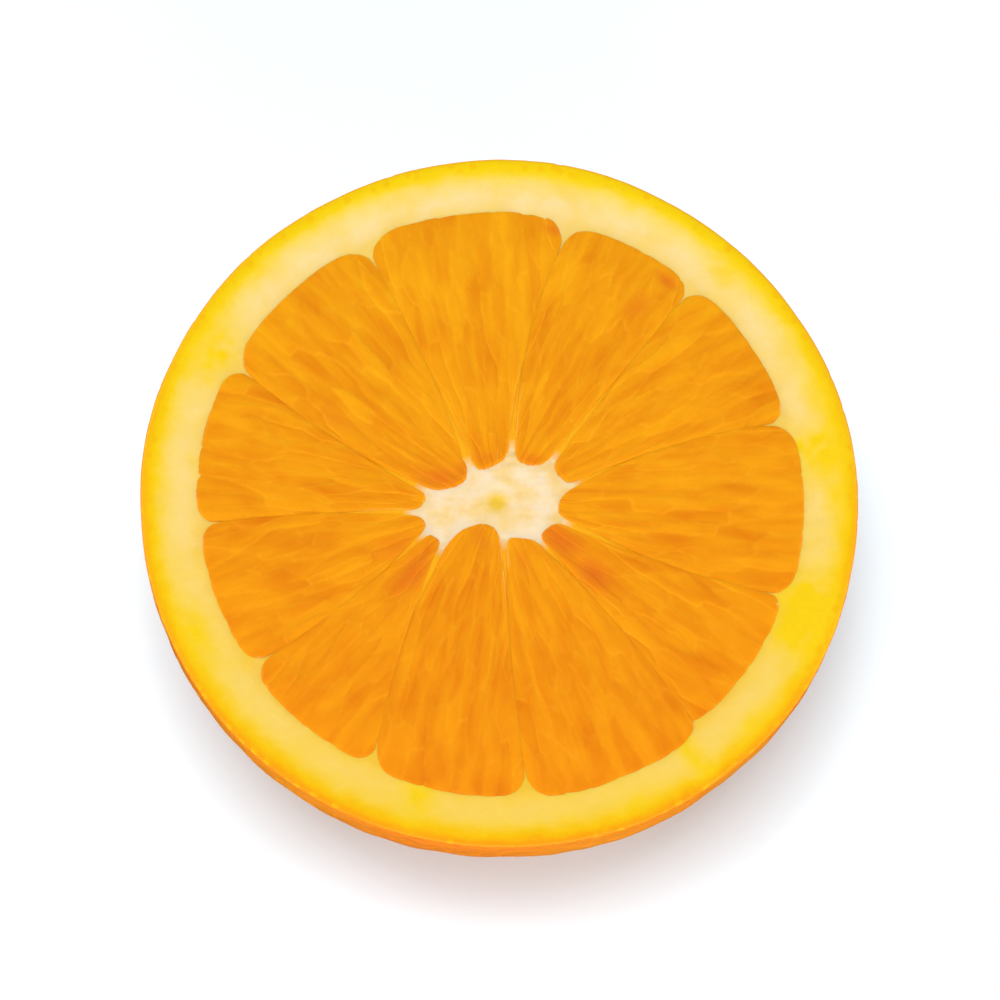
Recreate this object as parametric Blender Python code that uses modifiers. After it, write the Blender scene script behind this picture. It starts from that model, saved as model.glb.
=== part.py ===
"""Half of a sweet orange, cut across its segments, lying on its rind with the cut face up.

Metres, +Z up. The origin is under the middle of the fruit, on the small flat spot that it rests
on. Seen from above, +X is the right of the cut face and +Y its top. The fruit is one solid: a body
of rind and pith, turned from one profile and pulled a little out of round, with a plump pad of pulp
for each segment fused on where its juice sacs swell past the cut.
"""

import math

import bmesh
import bpy
from mathutils import Vector, noise

FRUIT_RADIUS = 0.038
REST_RADIUS = 0.009
HEIGHT = math.sqrt(FRUIT_RADIUS**2 - REST_RADIUS**2)
RIM_ROUNDING = 0.0004
PITH_SAG = 0.0003
ZEST_THICKNESS = 0.0016
PITH_FROM = 0.0322

DOME_RINGS = 20
RIM_STEPS = 3
TURN_STEPS = 72

# How far from round the fruit is: lobes round the axis, share of the radius, angle of a high point.
OUT_OF_ROUND = (
    (2, 0.002, math.radians(-15)),
    (3, 0.002, math.radians(80)),
    (5, 0.001, math.radians(10)),
)

# The thin walls between segments, anticlockwise. Each runs from a point of the star-shaped core to a
# notch in the pith: core point x and y, angle and radius of the notch, and how far it bows left.
# The last two are of the segment on its left: how far it reaches into the core, and its radius.
WALLS = (
    (0.0075, 0.0015, math.radians(16), 0.0313, 0.0012, 0.0003, 0.0320),
    (0.0054, 0.0042, math.radians(49), 0.0312, 0.0001, 0.0011, 0.0318),
    (0.0013, 0.0052, math.radians(76), 0.0305, 0.0013, 0.0007, 0.0323),
    (-0.0030, 0.0033, math.radians(117), 0.0312, -0.0006, 0.0011, 0.0321),
    (-0.0077, 0.0010, math.radians(152), 0.0314, 0.0008, 0.0004, 0.0323),
    (-0.0089, -0.0014, math.radians(185), 0.0315, -0.0005, 0.0005, 0.0320),
    (-0.0078, -0.0035, math.radians(215), 0.0311, 0.0007, 0.0003, 0.0322),
    (-0.0060, -0.0049, math.radians(245), 0.0313, -0.0009, 0.0020, 0.0324),
    (0.0004, -0.0039, math.radians(275), 0.0317, -0.0004, 0.0001, 0.0329),
    (0.0039, -0.0042, math.radians(310), 0.0320, 0.0006, 0.0004, 0.0324),
    (0.0064, -0.0021, math.radians(341), 0.0319, -0.0009, 0.0009, 0.0324),
)
WALL_GAP = 0.0004
BOW_SCALE = 4  # makes a wall's bow its full sideways reach at half its length

PAD_COLUMNS = 14
PAD_ROWS = 18
PAD_DEPTH = 0.0025
INNER_ROUNDING = 0.15
OUTER_ROUNDING = 0.05
CORNER_POWER = 8
SHOULDER_POWER = 12
CROWN_REACH = 4
EDGE_DROP = 0.0003
SWELL = 0.0004
EDGE_POWER = 12
CORE_END_FLATNESS = 4
CORE_END_POWER = 6
MOST_INSET = 0.3
SAC_RELIEF = 0.00028
SAC_WIDTH = 0.0022
SAC_LENGTH = 0.0065

FULL_TURN = 2 * math.pi
MERGE = 0.00001
FACING_UP = 0.5

ZEST_COLOUR = (0.90, 0.30, 0.012)
PITH_COLOUR = (0.95, 0.72, 0.28)
PULP_COLOUR = (0.90, 0.33, 0.012)


def clear_scene():
    for old in list(bpy.data.objects):
        bpy.data.objects.remove(old)


def finish(name, colour, roughness):
    made = bpy.data.materials.new(name)
    made.use_nodes = True
    shader = made.node_tree.nodes["Principled BSDF"]
    shader.inputs["Base Color"].default_value = (*colour, 1.0)
    shader.inputs["Roughness"].default_value = roughness
    shader.inputs["Metallic"].default_value = 0.0
    return made


def add_mesh_object(name, bm, collection, materials):
    mesh = bpy.data.meshes.new(name)
    bm.to_mesh(mesh)
    bm.free()
    for material in materials:
        mesh.materials.append(material)
    made = bpy.data.objects.new(name, mesh)
    collection.objects.link(made)
    return made


def evaluated_copy(source):
    """The mesh that an object's modifiers make, as a mesh of its own."""
    graph = bpy.context.evaluated_depsgraph_get()
    return bpy.data.meshes.new_from_object(source.evaluated_get(graph))


def body_profile():
    """Points of the half profile, from the middle of the cut face over the rim to the resting spot."""
    points = [(0.0, HEIGHT - PITH_SAG), (PITH_FROM, HEIGHT - PITH_SAG)]
    points.append((FRUIT_RADIUS - ZEST_THICKNESS, HEIGHT))
    for step in range(RIM_STEPS + 1):
        turn = math.pi / 2 * (1 - step / RIM_STEPS)
        points.append(
            (
                FRUIT_RADIUS - RIM_ROUNDING * (1 - math.cos(turn)),
                HEIGHT - RIM_ROUNDING * (1 - math.sin(turn)),
            )
        )
    first = math.asin(RIM_ROUNDING / FRUIT_RADIUS)
    last = math.acos(REST_RADIUS / FRUIT_RADIUS)
    for ring in range(1, DOME_RINGS + 1):
        below = first + (last - first) * ring / DOME_RINGS
        points.append(
            (FRUIT_RADIUS * math.cos(below), HEIGHT - FRUIT_RADIUS * math.sin(below))
        )
    points.append((0.0, 0.0))
    return points


def out_of_round(angle):
    return 1 + sum(
        share * math.cos(lobes * (angle - high)) for lobes, share, high in OUT_OF_ROUND
    )


def fruit_body(collection, materials):
    """The turned body of rind and pith, pulled out of round."""
    bm = bmesh.new()
    ring = [bm.verts.new((x, 0.0, z)) for x, z in body_profile()]
    for upper, lower in zip(ring, ring[1:]):
        bm.edges.new((upper, lower))
    body = add_mesh_object("turned_body", bm, collection, ())
    turn = body.modifiers.new("Turn", "SCREW")
    turn.angle = FULL_TURN
    turn.steps = turn.render_steps = TURN_STEPS
    turn.use_merge_vertices = True
    turn.merge_threshold = MERGE
    body.data = evaluated_copy(body)
    body.modifiers.clear()

    for vertex in body.data.vertices:
        stretch = out_of_round(math.atan2(vertex.co.y, vertex.co.x))
        vertex.co.x *= stretch
        vertex.co.y *= stretch
    for material in materials:
        body.data.materials.append(material)
    zest, pith = 0, 1
    for face in body.data.polygons:
        on_cut = face.normal.z > FACING_UP and face.center.xy.length < FRUIT_RADIUS - ZEST_THICKNESS
        face.material_index = pith if on_cut else zest
    return body


def wall_point(wall, share):
    """A point on a wall's centreline: share 0 is its point of the core and 1 its notch."""
    x, y, angle, radius, bow, _, _ = wall
    start = Vector((x, y))
    end = Vector((radius * math.cos(angle), radius * math.sin(angle)))
    along = (end - start).normalized()
    left = Vector((-along.y, along.x))
    return start.lerp(end, share) + left * bow * BOW_SCALE * share * (1 - share)


def pad_point(right_wall, left_wall, across, along):
    """Where a point of the unit pad lies on the cut face. Across runs from the right wall at -1 to the
    left wall at 1, and along from the core at -1 to the pith at 1. The corners are rounded off."""
    rounding = INNER_ROUNDING if along < 0 else OUTER_ROUNDING
    across, along = (
        across * (1 - rounding * abs(along) ** CORNER_POWER),
        along * (1 - rounding * abs(across) ** CORNER_POWER),
    )
    share = (along + 1) / 2
    right = wall_point(right_wall, share)
    left = wall_point(left_wall, share)
    width = (left - right).length
    inset = min(WALL_GAP / 2 / width, MOST_INSET)
    place = right.lerp(left, inset + (1 - 2 * inset) * (across + 1) / 2)

    chord_point = wall_point(right_wall, 1).lerp(wall_point(left_wall, 1), (across + 1) / 2)
    notch_radius = right_wall[3] + (left_wall[3] - right_wall[3]) * (across + 1) / 2
    end_radius = notch_radius + (right_wall[6] - notch_radius) * (1 - across**SHOULDER_POWER)
    outward = chord_point.normalized()
    place += outward * ((end_radius - chord_point.length) * share**CROWN_REACH)
    reach = right_wall[5] * (1 - across**CORE_END_FLATNESS) * (1 - share) ** CORE_END_POWER
    place -= outward * reach
    return place


def pad_height(across, along, place, middle, number):
    """How far the pulp stands past the pith: a swell that drops away at the edges, with the relief of
    its juice sacs, which lie along the segment's middle direction."""
    fill = (1 - abs(across) ** EDGE_POWER) * (1 - abs(along) ** EDGE_POWER)
    sideways = middle.x * place.y - middle.y * place.x
    sac = noise.noise(Vector((sideways / SAC_WIDTH, place.length / SAC_LENGTH, float(number))))
    return (SWELL + SAC_RELIEF * sac) * fill - EDGE_DROP * (1 - fill)


def crowded_to_edges(share):
    """Moves evenly spaced grid lines from -1 to 1 closer together towards both ends."""
    return math.sin(share * math.pi / 2)


def pulp_pad(number, collection, material):
    """One segment's pulp: a grid drawn out between its two walls, then extruded down into the pith."""
    right_wall = WALLS[number]
    left_wall = WALLS[(number + 1) % len(WALLS)]
    middle = (wall_point(right_wall, 1) + wall_point(left_wall, 1)).normalized()
    bm = bmesh.new()
    bmesh.ops.create_grid(bm, x_segments=PAD_COLUMNS, y_segments=PAD_ROWS, size=1.0)
    for vertex in bm.verts:
        across = crowded_to_edges(vertex.co.x)
        along = crowded_to_edges(vertex.co.y)
        place = pad_point(right_wall, left_wall, across, along)
        rise = pad_height(across, along, place, middle, number)
        vertex.co = (place.x, place.y, HEIGHT - PITH_SAG + rise)
    sunk = bmesh.ops.extrude_face_region(bm, geom=bm.faces[:], use_keep_orig=True)
    for vertex in sunk["geom"]:
        if isinstance(vertex, bmesh.types.BMVert):
            vertex.co.z = HEIGHT - PAD_DEPTH
    bmesh.ops.recalc_face_normals(bm, faces=bm.faces)
    add_mesh_object(f"pulp_pad_{number}", bm, collection, (material,))


def fuse(body, pads, collection):
    """The body and all its pads as one closed object."""
    union = body.modifiers.new("Fuse", "BOOLEAN")
    union.operation = "UNION"
    union.operand_type = "COLLECTION"
    union.collection = pads
    union.solver = "EXACT"
    union.material_mode = "TRANSFER"
    fused = evaluated_copy(body)
    fused.name = "orange_half"
    for helper in [body, *pads.objects]:
        bpy.data.objects.remove(helper)
    bpy.data.collections.remove(pads)
    half = bpy.data.objects.new("orange_half", fused)
    collection.objects.link(half)
    return half


def centre_over_origin(half):
    """Puts the middle of the fruit's width and depth over the origin."""
    xs = [vertex.co.x for vertex in half.data.vertices]
    ys = [vertex.co.y for vertex in half.data.vertices]
    middle = Vector(((min(xs) + max(xs)) / 2, (min(ys) + max(ys)) / 2, 0.0))
    for vertex in half.data.vertices:
        vertex.co -= middle


def main():
    clear_scene()
    zest = finish("waxed_zest", ZEST_COLOUR, 0.38)
    pith = finish("spongy_pith", PITH_COLOUR, 0.8)
    pulp = finish("wet_pulp", PULP_COLOUR, 0.25)
    fruit = bpy.data.collections.new("orange_half")
    pads = bpy.data.collections.new("pulp_pads")
    for collection in (fruit, pads):
        bpy.context.scene.collection.children.link(collection)

    body = fruit_body(fruit, (zest, pith))
    for number in range(len(WALLS)):
        pulp_pad(number, pads, pulp)
    half = fuse(body, pads, fruit)
    centre_over_origin(half)
    half.data.shade_smooth()
    half.data.set_sharp_from_angle(angle=math.radians(40))


main()
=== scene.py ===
import math

import bpy
import numpy as np
from mathutils import Matrix, Vector, kdtree, noise


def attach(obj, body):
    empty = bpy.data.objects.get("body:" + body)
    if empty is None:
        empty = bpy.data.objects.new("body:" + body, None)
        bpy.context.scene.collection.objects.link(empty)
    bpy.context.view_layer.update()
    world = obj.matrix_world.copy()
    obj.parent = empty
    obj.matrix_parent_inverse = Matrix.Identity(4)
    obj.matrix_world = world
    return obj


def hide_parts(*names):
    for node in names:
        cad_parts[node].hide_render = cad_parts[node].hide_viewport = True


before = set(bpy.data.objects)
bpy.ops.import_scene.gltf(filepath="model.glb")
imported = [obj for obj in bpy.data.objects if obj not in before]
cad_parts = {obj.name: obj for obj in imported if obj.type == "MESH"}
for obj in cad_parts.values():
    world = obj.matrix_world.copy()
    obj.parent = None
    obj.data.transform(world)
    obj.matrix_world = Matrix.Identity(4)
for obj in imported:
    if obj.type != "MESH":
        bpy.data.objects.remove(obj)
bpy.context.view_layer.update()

# The rind: the coloured outer skin of a ripe sweet orange, one layer of tough, oily tissue. It is
# close to a sphere, a little out of round, and its oil glands show as dimples all over it. It
# flattens slightly where the fruit rests.
FRUIT_RADIUS = 0.038
REST_RADIUS = 0.009
HEIGHT = math.sqrt(FRUIT_RADIUS**2 - REST_RADIUS**2)
RIM_ROUNDING = 0.0004
REST_SOFTNESS = 0.0004
GLAND_SPACING = 0.0021
GLAND_SCATTER = 0.24 * GLAND_SPACING
GLAND_RADIUS = (0.00038, 0.00062)
GLAND_DEPTH = (0.00008, 0.00024)
PEBBLE_SIZE = 0.0032
PEBBLE_HEIGHT = 0.00014
PEBBLE_SINK = 0.3
DENT_SIZE = 0.014
DENT_HEIGHT = 0.00018
DENT_SINK = 0.5
RIM_RELIEF = 0.25
RIM_FADE = 0.004
RIPE_SPAN = 0.033
SHARP_ANGLE = math.radians(60)
GOLDEN_ANGLE = math.pi * (3 - math.sqrt(5))
NOISE_SHIFT = Vector((17.3, 5.1, 9.7))

# How far from round the fruit is: lobes round the axis, share of the radius, angle of a high point.
OUT_OF_ROUND = (
    (2, 0.002, math.radians(-15)),
    (3, 0.002, math.radians(80)),
    (5, 0.001, math.radians(10)),
)

# The rind's hidden inner side, from the rim down: how far each step shrinks, and how far it drops.
LINING_STEPS = ((0.985, 0.0), (0.97, -0.003), (0.90, -0.010), (0.66, -0.012), (0.3, -0.0075))

rng = np.random.default_rng(11)


def out_of_round(angle):
    """How far the fruit is pulled out of round at an angle, as a factor of its radius."""
    return 1 + sum(
        share * np.cos(lobes * (angle - high)) for lobes, share, high in OUT_OF_ROUND
    )


# The CAD solid is centred over the origin by its own box, so the fruit's axis stands beside it.
cad_angles = np.radians(np.arange(0, 360, 5))
cad_rim = FRUIT_RADIUS * out_of_round(cad_angles)
cad_rim_x = cad_rim * np.cos(cad_angles)
cad_rim_y = cad_rim * np.sin(cad_angles)
FRUIT_AXIS = np.array(
    [-(cad_rim_x.max() + cad_rim_x.min()) / 2, -(cad_rim_y.max() + cad_rim_y.min()) / 2, 0.0]
)


def get_points(piece):
    points = np.empty(len(piece.data.vertices) * 3)
    piece.data.vertices.foreach_get("co", points)
    return points.reshape(-1, 3)


def set_points(piece, points):
    piece.data.vertices.foreach_set("co", points.ravel())
    piece.data.update()


def set_attribute(piece, name, values):
    made = piece.data.attributes.new(name, "FLOAT", "POINT")
    made.data.foreach_set("value", values)


def near_side_shade(points):
    """How much painted shade the cut takes: 0 on the far side, painted paler, and 1 on the near
    side, painted deeper and darker.
    """
    return np.clip(0.5 - 0.5 * points[:, 1] / RIPE_SPAN, 0, 1)


def noise_at(points, size, seed=0.0):
    """Smooth noise from about -1 to 1 at each point, with lumps of the given size."""
    shift = NOISE_SHIFT * seed
    return np.array([noise.noise(Vector(point) / size + shift) for point in points])


def linear(hex_colour):
    """An sRGB hex colour as the linear colour that a shader socket takes."""
    parts = [int(hex_colour[i : i + 2], 16) / 255 for i in (1, 3, 5)]
    return tuple(
        part / 12.92 if part <= 0.04045 else ((part + 0.055) / 1.055) ** 2.4 for part in parts
    ) + (1.0,)


def new_material(name):
    """A new node material and its shader."""
    made = bpy.data.materials.new(name)
    made.use_nodes = True
    return made, made.node_tree.nodes["Principled BSDF"]


def add_node(material, kind, inputs=(), **settings):
    """Adds a node with its settings. Each input is a socket with its value or another's output."""
    tree = material.node_tree
    made = tree.nodes.new(kind)
    for key, value in settings.items():
        setattr(made, key, value)
    for socket, value in dict(inputs).items():
        if isinstance(value, bpy.types.NodeSocket):
            tree.links.new(value, made.inputs[socket])
        else:
            made.inputs[socket].default_value = value
    return made


def link_shader(material, shader, **outputs):
    """Links outputs to the shader's sockets, which are named with _ in place of each space."""
    for name, output in outputs.items():
        material.node_tree.links.new(output, shader.inputs[name.replace("_", " ")])


def active_piece(name):
    """The object that an operator has just added, renamed."""
    piece = bpy.context.object
    piece.name = name
    piece.data.name = name
    return piece


def apply_place(piece):
    """Moves a piece's place into its mesh, so that the object sits at the origin."""
    bpy.ops.object.select_all(action="DESELECT")
    piece.select_set(True)
    bpy.context.view_layer.objects.active = piece
    bpy.ops.object.transform_apply(location=True, rotation=True, scale=True)


def dress(piece, material):
    """Gives a finished piece its material and fixes it to the fruit."""
    piece.data.materials.clear()
    piece.data.materials.append(material)
    piece.data.shade_smooth()
    piece.data.set_sharp_from_angle(angle=SHARP_ANGLE)
    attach(piece, "root")
    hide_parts("orange_half")


bpy.ops.object.select_all(action="DESELECT")
bpy.ops.mesh.primitive_ico_sphere_add(
    subdivisions=8, radius=FRUIT_RADIUS, location=(0, 0, HEIGHT)
)
rind = active_piece("rind")
apply_place(rind)
bpy.ops.object.mode_set(mode="EDIT")
bpy.ops.mesh.select_all(action="SELECT")
bpy.ops.mesh.bisect(
    plane_co=(0, 0, HEIGHT - RIM_ROUNDING), plane_no=(0, 0, 1), clear_outer=True
)
bpy.ops.object.mode_set(mode="OBJECT")

# The glands are spread over the whole sphere along a spiral, each in a cell of its own, then moved a
# little at random.
gland_cell = GLAND_SPACING**2 * math.sqrt(3) / 2
gland_count = int(4 * math.pi * FRUIT_RADIUS**2 / gland_cell)
turns = np.arange(gland_count) * GOLDEN_ANGLE
heights = 1 - 2 * (np.arange(gland_count) + 0.5) / gland_count
rings = np.sqrt(1 - heights**2)
glands = np.stack([rings * np.cos(turns), rings * np.sin(turns), heights], axis=1)
glands = glands * FRUIT_RADIUS + rng.normal(0, GLAND_SCATTER, glands.shape)
gland_radii = rng.uniform(*GLAND_RADIUS, gland_count)
gland_depths = rng.uniform(*GLAND_DEPTH, gland_count)
gland_tree = kdtree.KDTree(gland_count)
for number, place in enumerate(glands):
    gland_tree.insert(Vector(place / np.linalg.norm(place)) * FRUIT_RADIUS, number)
gland_tree.balance()


def gland_dimples(points):
    """How deep the skin dips at each point of the sphere, and how far it is into a dimple."""
    dips = np.zeros(len(points))
    inside = np.zeros(len(points))
    for row, point in enumerate(points):
        for _, number, distance in gland_tree.find_n(point, 2):
            reach = distance / gland_radii[number]
            if reach < 1:
                bowl = (1 - reach**2) ** 2
                dips[row] = max(dips[row], gland_depths[number] * bowl)
                inside[row] = max(inside[row], bowl)
    return dips, inside


def skin_relief(sphere_points):
    """How far the skin stands from the sphere at each point, and how far into a dimple it is. The
    knife leaves the skin smoother beside the rim."""
    dips, inside = gland_dimples(sphere_points)
    roughness = np.clip(RIM_RELIEF - sphere_points[:, 2] / RIM_FADE, RIM_RELIEF, 1)
    relief = PEBBLE_HEIGHT * (noise_at(sphere_points, PEBBLE_SIZE, 1) - PEBBLE_SINK) - dips
    relief *= roughness
    relief += DENT_HEIGHT * (noise_at(sphere_points, DENT_SIZE, 2) - DENT_SINK)
    return relief, inside


def place_skin(sphere_points, relief):
    """Sphere points with their relief, pulled out of round and flattened where the fruit rests."""
    directions = sphere_points / np.linalg.norm(sphere_points, axis=1)[:, None]
    placed = sphere_points + directions * relief[:, None]
    stretch = out_of_round(np.arctan2(placed[:, 1], placed[:, 0]))
    placed[:, 0] *= stretch
    placed[:, 1] *= stretch
    low = placed[:, 2] + HEIGHT
    placed[:, 2] = (low + np.sqrt(low**2 + REST_SOFTNESS**2)) / 2
    return placed + FRUIT_AXIS


sphere_points = get_points(rind) - np.array([0, 0, HEIGHT])
relief, inside = skin_relief(sphere_points)
set_points(rind, place_skin(sphere_points, relief))
# The dimple mask, which the zest reads for the glands' colour and for painted shade in the hollows.
set_attribute(rind, "gland_and_hollow_shade", inside)

bpy.context.view_layer.objects.active = rind
bpy.ops.object.mode_set(mode="EDIT")
bpy.ops.mesh.select_all(action="SELECT")
bpy.ops.mesh.region_to_loop()
for shrink, drop in LINING_STEPS:
    bpy.ops.mesh.extrude_region_move(TRANSFORM_OT_translate={"value": (0, 0, drop)})
    bpy.ops.transform.resize(value=(shrink, shrink, 1))
bpy.ops.mesh.merge(type="CENTER")
bpy.ops.object.mode_set(mode="OBJECT")

# Waxed zest: a satin skin. The glands under it show as darker, redder dots, their own colour
# deepened by painted shade in the dimples over them; the skin between them is warm orange with soft
# paler patches, and its fine grain breaks up the highlights.
zest, shader = new_material("waxed_zest")
place = add_node(zest, "ShaderNodeTexCoord").outputs["Object"]
patches = add_node(
    zest, "ShaderNodeTexNoise", {"Vector": place, "Scale": 1 / 0.016, "Detail": 3.0}
)
patch_share = add_node(
    zest,
    "ShaderNodeMapRange",
    {"Value": patches.outputs["Fac"], "From Min": 0.35, "From Max": 0.65},
)
skin_colour = add_node(
    zest,
    "ShaderNodeMix",
    {0: patch_share.outputs["Result"], 6: linear("#F7860E"), 7: linear("#FA9610")},
    data_type="RGBA",
)
grain = add_node(
    zest, "ShaderNodeTexVoronoi", {"Vector": place, "Scale": 1 / 0.0009}, feature="F1"
)
grain_share = add_node(
    zest,
    "ShaderNodeMapRange",
    {"Value": grain.outputs["Distance"], "From Min": 0.1, "From Max": 0.45, "To Min": 0.25,
     "To Max": 0.0},
)
grained_colour = add_node(
    zest,
    "ShaderNodeMix",
    {0: grain_share.outputs["Result"], 6: skin_colour.outputs[2], 7: linear("#F0760C")},
    data_type="RGBA",
)
# Each dimple is painted darker and redder: partly the gland's own colour, partly painted shade in
# the hollow.
gland_and_hollow_shade = add_node(zest, "ShaderNodeAttribute", attribute_name="gland_and_hollow_shade")
gland_share = add_node(
    zest, "ShaderNodeMath", {0: gland_and_hollow_shade.outputs["Fac"], 1: 0.32}, operation="MULTIPLY"
)
zest_colour = add_node(
    zest,
    "ShaderNodeMix",
    {0: gland_share.outputs[0], 6: grained_colour.outputs[2], 7: linear("#E2600A")},
    data_type="RGBA",
)
bump = add_node(
    zest,
    "ShaderNodeBump",
    {"Height": grain.outputs["Distance"], "Strength": 0.5, "Distance": 0.00015},
)
shader.inputs["Roughness"].default_value = 0.32
shader.inputs["IOR"].default_value = 1.45
shader.inputs["Coat Weight"].default_value = 0.2
shader.inputs["Coat Roughness"].default_value = 0.25
link_shader(zest, shader, Base_Color=zest_colour.outputs[2], Normal=bump.outputs["Normal"])
dress(rind, zest)

# The cut peel: the rind's cut edge and the spongy white pith inside it, cut through with a sharp
# knife. The zest is a thin yellow band round the rim, dotted with cut oil glands, and the pith
# pales towards the pulp and dips slightly, because it springs back under the blade.
ZEST_THICKNESS = 0.0016
PITH_SAG = 0.0003
PITH_FROM = 0.0322
PEEL_INSIDE = 0.0268
PEEL_THICKNESS = 0.0065
SKIN_INSET = 0.00004
PULP_DEPTH = 0.006
CUT_STEP = 0.00019
CUT_COLUMNS = 1080
MERGE_DISTANCE = 0.00001
DOUBLES_DISTANCE = 0.000005

# The profile runs from the middle of the hidden underside, up inside the rind, out to the skin just
# under the rim, over the rim, in along the cut to the pulp, and down under the segments.
UNDERSIDE = 0.0012
UNDERSIDE_RADIUS = FRUIT_RADIUS - 0.0015
UNDERSIDE_TURNS = (80, 65, 50, 35, 20, 8)
LEDGE = (FRUIT_RADIUS - 0.0012, HEIGHT - 0.0022)
SKIN_DEPTHS = (0.0016, 0.0013, 0.0010, 0.0007)
RIM_TURNS = (0, 18, 36, 54, 72, 90)
INSIDE_WALL = PEEL_INSIDE - 0.0002
INSIDE_WALL_DEPTH = 0.001
INNER_RING = 0.015

profile = [(0.0, UNDERSIDE)]
for below in np.radians(UNDERSIDE_TURNS):
    profile.append(
        (UNDERSIDE_RADIUS * math.cos(below), HEIGHT - UNDERSIDE_RADIUS * math.sin(below))
    )
profile.append(LEDGE)
for below in SKIN_DEPTHS:
    profile.append((math.sqrt(FRUIT_RADIUS**2 - below**2) - SKIN_INSET, HEIGHT - below))
for turn in np.radians(RIM_TURNS):
    profile.append(
        (
            FRUIT_RADIUS - SKIN_INSET * math.cos(turn) - RIM_ROUNDING * (1 - math.cos(turn)),
            HEIGHT - RIM_ROUNDING * (1 - math.sin(turn)),
        )
    )
cut_rows = int((FRUIT_RADIUS - RIM_ROUNDING - PEEL_INSIDE) / CUT_STEP)
for row in range(1, cut_rows + 1):
    profile.append((FRUIT_RADIUS - RIM_ROUNDING - row * CUT_STEP, HEIGHT))
profile += [(INSIDE_WALL, HEIGHT - INSIDE_WALL_DEPTH), (INSIDE_WALL, HEIGHT - PULP_DEPTH)]
profile += [(INNER_RING, HEIGHT - PULP_DEPTH), (0.0, HEIGHT - PULP_DEPTH)]

bpy.ops.object.select_all(action="DESELECT")
bpy.ops.mesh.primitive_plane_add(size=0.001, location=(profile[0][0], 0, profile[0][1]))
cut_peel = active_piece("cut_peel")
apply_place(cut_peel)
bpy.ops.object.mode_set(mode="EDIT")
bpy.ops.mesh.select_all(action="SELECT")
bpy.ops.mesh.merge(type="CENTER")
for (from_x, from_z), (to_x, to_z) in zip(profile, profile[1:]):
    bpy.ops.mesh.extrude_vertices_move(
        TRANSFORM_OT_translate={"value": (to_x - from_x, 0, to_z - from_z)}
    )
bpy.ops.object.mode_set(mode="OBJECT")
turn = cut_peel.modifiers.new("Turn", "SCREW")
turn.angle = 2 * math.pi
turn.steps = turn.render_steps = CUT_COLUMNS
turn.use_merge_vertices = True
turn.merge_threshold = MERGE_DISTANCE
bpy.ops.object.modifier_apply(modifier="Turn")
bpy.ops.object.mode_set(mode="EDIT")
bpy.ops.mesh.select_all(action="SELECT")
bpy.ops.mesh.remove_doubles(threshold=DOUBLES_DISTANCE)
bpy.ops.mesh.normals_make_consistent(inside=False)
bpy.ops.object.mode_set(mode="OBJECT")

# The open, slightly torn grain of cut pith: the height, size and seed of each layer of lumps.
PITH_GRAIN = ((0.00007, 0.0045, 3), (0.00004, 0.0014, 4), (0.000018, 0.0005, 5))
GRAIN_FROM = 0.0003
GRAIN_FADE = 0.0012
SKIN_BAND = 0.0018
SKIN_FADE = 0.0014
ON_PLANE = np.array([1.0, 1.0, 0.0])

points = get_points(cut_peel)
radii = np.hypot(points[:, 0], points[:, 1])
angles = np.arctan2(points[:, 1], points[:, 0])
on_cut = (points[:, 2] > HEIGHT - RIM_ROUNDING * 1.01) & (radii > PEEL_INSIDE - CUT_STEP / 2)
on_skin = np.clip((radii - FRUIT_RADIUS + SKIN_BAND) / SKIN_FADE, 0, 1)
on_skin[points[:, 2] < HEIGHT - SKIN_BAND] = 0
depth = np.clip((FRUIT_RADIUS - radii) / PEEL_THICKNESS, 0, 1)

# The pith sags from the zest inwards and has its grain, and the skin under the rim takes the rind's
# own relief.
zest_inside = FRUIT_RADIUS - ZEST_THICKNESS
sag_share = np.clip((zest_inside - radii) / (zest_inside - PITH_FROM), 0, 1)
inland = np.clip((FRUIT_RADIUS - radii - GRAIN_FROM) / GRAIN_FADE, 0, 1)
points[:, 2] -= on_cut * PITH_SAG * sag_share
flat = points * ON_PLANE
grain = sum(height * noise_at(flat, size, seed) for height, size, seed in PITH_GRAIN)
points[:, 2] += on_cut * inland * grain
stretch = out_of_round(angles)
outward = np.stack([np.cos(angles), np.sin(angles), np.zeros(len(points))], axis=1)
skin_points = points - np.array([0, 0, HEIGHT])
skin_points *= (FRUIT_RADIUS / np.linalg.norm(skin_points, axis=1))[:, None]
rim_rows = on_skin.nonzero()[0]
rim_relief, _ = skin_relief(skin_points[rim_rows])
points[rim_rows] += outward[rim_rows] * (rim_relief * on_skin[rim_rows])[:, None]
points[:, 0] *= stretch
points[:, 1] *= stretch
set_points(cut_peel, points + FRUIT_AXIS)
set_attribute(cut_peel, "peel_depth", depth)
# How much painted shade each point of the cut takes, from the far side to the near side.
set_attribute(cut_peel, "near_shade", near_side_shade(points))

# Where the pith runs thin or is stained by the oil, golden patches cross it: the angle and radius
# of each, how far it reaches along the rim and across the peel, and how strong it is.
GOLDEN_PATCHES = (
    (math.radians(-21), 0.0342, 0.005, 0.00325, 1.3),
    (math.radians(-17), 0.0335, 0.00275, 0.00325, 1.0),
    (math.radians(-25), 0.0360, 0.00375, 0.002, 0.8),
    (math.radians(9), 0.0345, 0.0035, 0.00325, 1.0),
    (math.radians(11), 0.0325, 0.0015, 0.00225, 0.9),
    (math.radians(1), 0.0355, 0.00275, 0.0015, 0.7),
    (math.radians(19), 0.0358, 0.00275, 0.0015, 0.7),
    (math.radians(-54), 0.0338, 0.001125, 0.00325, 0.9),
    (math.radians(-42), 0.0358, 0.0025, 0.00125, 0.6),
    (math.radians(-67), 0.0358, 0.00275, 0.001125, 0.5),
    (math.radians(47), 0.0350, 0.0025, 0.0015, 0.6),
    (math.radians(152), 0.0340, 0.00425, 0.0025, 0.9),
    (math.radians(205), 0.0350, 0.00425, 0.00175, 0.8),
    (math.radians(255), 0.0335, 0.002, 0.003, 0.8),
)
PATCH_GRAIN = 0.0012
PATCH_LEVEL = 1.1
PATCH_SPREAD = 0.5

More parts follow.
